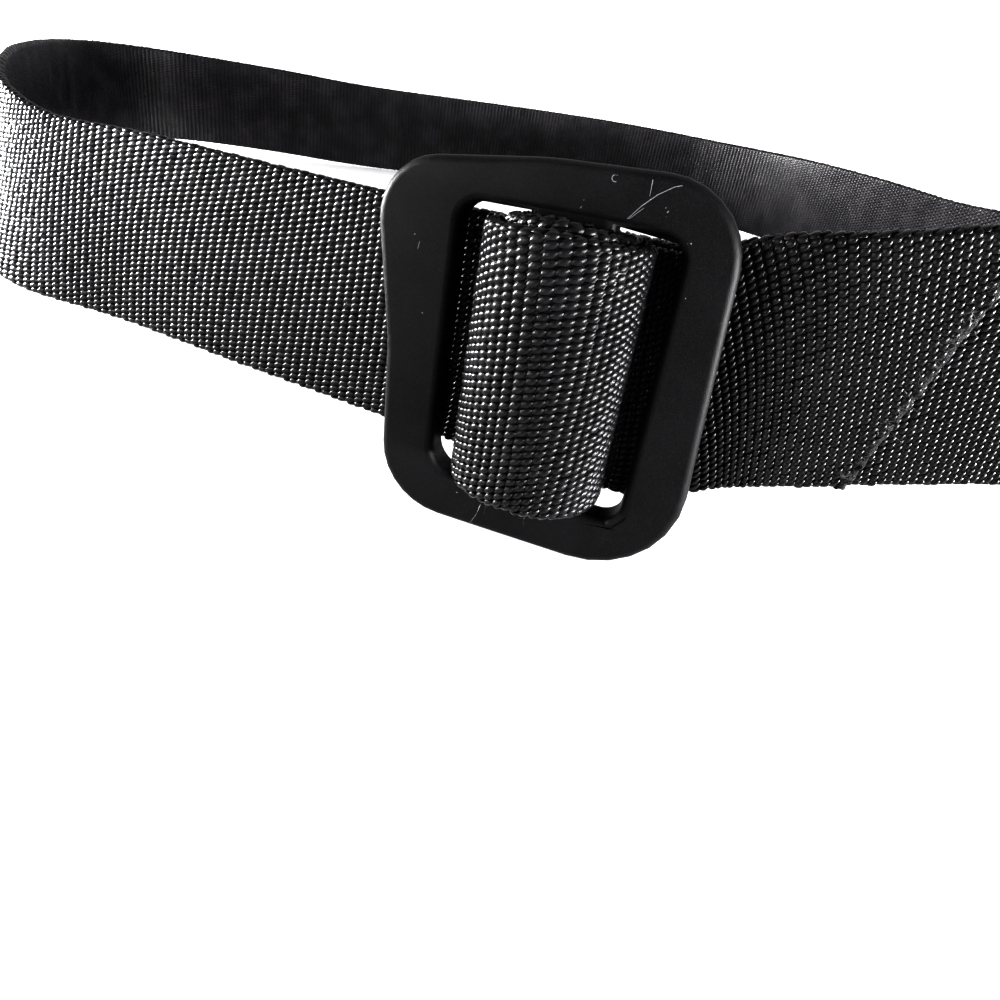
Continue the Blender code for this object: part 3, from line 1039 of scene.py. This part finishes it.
class BELT_OT_buckle(bpy.types.Operator):
    """Finishes the frame buckle with its sandblasted coat"""

    bl_idname = "belt.buckle"
    bl_label = "Frame buckle"

    def execute(self, context):
        settings = context.scene.belt_buckle
        node = frame["nodes"][BUCKLE_NODE]
        mesh = node.data.copy()
        form = bmesh.new()
        form.from_mesh(mesh)
        bmesh.ops.remove_doubles(form, verts=form.verts, dist=WELD)
        flat = math.radians(FLAT_ANGLE)
        bmesh.ops.dissolve_limit(form, angle_limit=flat, verts=form.verts, edges=form.edges)
        form.to_mesh(mesh)
        form.free()
        mesh.shade_smooth()
        mesh.materials.clear()
        mesh.materials.append(coat_material(settings))
        made = bpy.data.objects.new("buckle", mesh)
        bpy.context.scene.collection.objects.link(made)
        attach(made, BODY)
        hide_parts(BUCKLE_NODE)
        weighted = made.modifiers.new("flat faces stay flat", "WEIGHTED_NORMAL")
        weighted.keep_sharp = True
        return {"FINISHED"}


def face_places(shader, place):
    """Distances from the buckle's middle on its own axes: across, back and up."""
    turn = Euler([math.radians(angle) for angle in BUCKLE_ANGLES], "XYZ").to_matrix()
    middle = Vector(BUCKLE_PLACE)
    return [shader.along(place, turn.col[axis]) - middle.dot(turn.col[axis]) for axis in range(3)]


def scratch(across, up, ends, half_width):
    """1 on a straight hairline between two places on the buckle's face, and 0 off it."""
    (left, low), (right, high) = ([value * MM for value in end] for end in ends)
    length = math.hypot(right - left, high - low)
    east, north = (right - left) / length, (high - low) / length
    along = (across - left) * east + (up - low) * north
    beside = abs((up - low) * east - (across - left) * north)
    return beside.below(half_width * MM) * (1 - along.below(0)) * along.below(length)


def scratched(across, back, up):
    """1 on the face's hairline scratches and its one small ring."""
    marks = [scratch(across, up, (start, end), half_width) for start, end, half_width in SCRATCHES]
    (left, low), radius, half_width = SMALL_RING
    apart = ((across - left * MM) ** 2 + (up - low * MM) ** 2) ** 0.5
    ring = abs(apart - radius * MM).below(half_width * MM) * (across - (left + 0.2) * MM).below(0)
    for mark in marks:
        ring = ring.largest(mark)
    return ring * back.below(FACE_DEPTH)


def dusted(shader, place, spacing, radius):
    """1 on a few tiny dust specks."""
    inputs = {"Vector": place, "Scale": 1 / spacing, "Randomness": 1.0}
    cells = shader.node("ShaderNodeTexVoronoi", {}, inputs)
    few = shader.noise(place, 6 * MM, 2.0).ramped(0.5, 0.52)
    return cells.out("Distance").below(radius / spacing) * few


def coat_material(settings):
    """A matt black coat over a sandblasted casting, with hairline scratches and a little dust."""
    shader = Shader("sandblasted coat", settings.coat_colour, settings.coat_roughness, Specular_IOR_Level=0.1)
    place = shader.place()
    grain = shader.noise(place, settings.grain_size, 3.0, 0.6)
    wear = shader.noise(place, 7 * MM, 3.0)
    lighter = [value * 2.6 for value in settings.coat_colour]
    coat = shader.blend(wear.ramped(0.3, 0.7) * 0.3 + grain.ramped(0.46, 0.68), settings.coat_colour, lighter)
    axes = face_places(shader, place)
    marks = scratched(*axes)
    dust = dusted(shader, place, 2.2 * MM, 0.07 * MM)
    coat = shader.blend(marks * 0.7, coat, settings.scratch_colour)
    shader.feed("Base Color", shader.blend(dust * 0.8, coat, settings.dust_colour))
    shader.feed("Roughness", settings.coat_roughness - 0.1 + 0.25 * grain)
    shader.raise_by((grain - 0.5 * marks) * (0.05 * MM), 0.8)
    return shader.material


class BELT_OT_studio(bpy.types.Operator):
    """Sets up the pale floor, the soft lights and the camera"""

    bl_idname = "belt.studio"
    bl_label = "Studio"

    def execute(self, context):
        settings = context.scene.belt_studio
        shader = Shader("pale floor", settings.floor_colour, 0.9, Specular_IOR_Level=0.0)
        bpy.ops.mesh.primitive_plane_add(size=FLOOR_SIZE)
        floor = context.object
        floor.name = "floor"
        floor.data.materials.append(shader.material)
        world = bpy.data.worlds.new("even sky")
        world.use_nodes = True
        sky = world.node_tree.nodes["Background"]
        sky.inputs["Color"].default_value = (1, 1, 1, 1)
        sky.inputs["Strength"].default_value = settings.sky_strength
        context.scene.world = world
        for name, place, aim, size, power, spread in LIGHTS:
            soft_light(name, place, aim, size, getattr(settings, power), spread)
        add_camera(context.scene)
        context.scene.view_settings.view_transform = "Standard"
        context.scene.view_settings.look = "Very High Contrast"
        return {"FINISHED"}


def soft_light(name, place, aim, size, power, spread):
    """A rectangular light that points at a place."""
    lamp = bpy.data.lights.new(name, "AREA")
    lamp.shape = "RECTANGLE"
    lamp.size, lamp.size_y = size
    lamp.energy = power
    lamp.spread = math.radians(spread)
    made = bpy.data.objects.new(name, lamp)
    made.location = place
    made.rotation_euler = (Vector(aim) - Vector(place)).to_track_quat("-Z", "Y").to_euler()
    bpy.context.scene.collection.objects.link(made)


def add_camera(scene):
    lens = bpy.data.cameras.new("camera")
    lens.sensor_width = CAMERA_SENSOR
    lens.lens = CAMERA_LENS
    lens.shift_y = CAMERA_SHIFT
    lens.clip_start = CAMERA_NEAREST
    camera = bpy.data.objects.new("camera", lens)
    camera.location = CAMERA_PLACE
    camera.rotation_euler = [math.radians(angle) for angle in CAMERA_ANGLES]
    scene.collection.objects.link(camera)
    scene.camera = camera


class VIEW3D_PT_belt(bpy.types.Panel):
    """Lists the belt's pieces and the values that they take"""

    bl_label = "Webbing belt"
    bl_space_type = "VIEW_3D"
    bl_region_type = "UI"
    bl_category = "Belt"

    def draw(self, context):
        for group, operators in PANEL_ROWS:
            box = self.layout.box()
            for operator in operators:
                box.operator(operator.bl_idname)
            settings = getattr(context.scene, group)
            for name in settings.__annotations__:
                box.prop(settings, name)


SETTINGS = {
    "belt_webbing": WebbingSettings,
    "belt_end": EndSettings,
    "belt_buckle": BuckleSettings,
    "belt_studio": StudioSettings,
}
OPERATORS = (
    BELT_OT_strap_core,
    BELT_OT_weave,
    BELT_OT_free_end,
    BELT_OT_loose_fibres,
    BELT_OT_buckle,
    BELT_OT_studio,
)
PANEL_ROWS = (
    ("belt_webbing", (BELT_OT_strap_core, BELT_OT_weave)),
    ("belt_end", (BELT_OT_free_end, BELT_OT_loose_fibres)),
    ("belt_buckle", (BELT_OT_buckle,)),
    ("belt_studio", (BELT_OT_studio,)),
)
CLASSES = (*SETTINGS.values(), *OPERATORS, VIEW3D_PT_belt)


def register():
    for one in CLASSES:
        bpy.utils.register_class(one)
    for name, group in SETTINGS.items():
        setattr(bpy.types.Scene, name, PointerProperty(type=group))


def unregister():
    for name in SETTINGS:
        delattr(bpy.types.Scene, name)
    for one in reversed(CLASSES):
        bpy.utils.unregister_class(one)


def corners(box):
    """A box's two corners as plain lists."""
    return [[float(value) for value in corner] for corner in box]


def main():
    for item in list(bpy.data.objects):
        if item.name in ("Cube", "Light", "Camera"):
            bpy.data.objects.remove(item, do_unlink=True)
    register()
    bpy.ops.belt.strap_core()
    bpy.ops.belt.weave()
    bpy.ops.belt.free_end()
    bpy.ops.belt.loose_fibres()
    bpy.ops.belt.buckle()
    bpy.ops.belt.studio()


if __name__ == "__main__":
    main()
